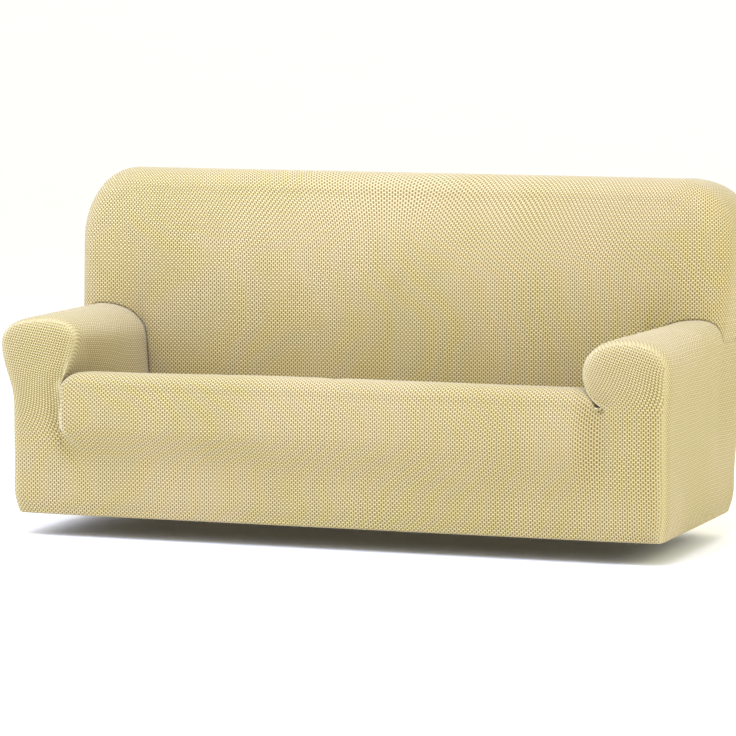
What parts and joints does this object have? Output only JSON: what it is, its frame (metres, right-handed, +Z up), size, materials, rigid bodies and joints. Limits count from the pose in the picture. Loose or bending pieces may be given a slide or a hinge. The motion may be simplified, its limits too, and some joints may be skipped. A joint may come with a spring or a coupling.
{
  "type": "sofa slipcover",
  "caption": "Fitted stretch slipcover for a small sofa with rolled arms: hollow, open below, in beige basket-weave knit with an elastic hem.",
  "frame": {"origin": "the point inside the top of the back, just under the cloth, where the thing that the cover fits carries it", "axes": "+X across the cover, to the right arm of someone who faces it; +Y from the front to the rear; +Z up"},
  "size_m": [1.8974, 0.7678, 0.905],
  "materials": {
    "knit": "matte basket-weave stretch knit, cream and olive-brown"
  },
  "bodies": {
    "root": {"front_panel": "knit", "left_arm_panel": "knit", "right_arm_panel": "knit", "inside_back_panel": "knit", "outside_back_panel": "knit"}
  },
  "joints": []
}
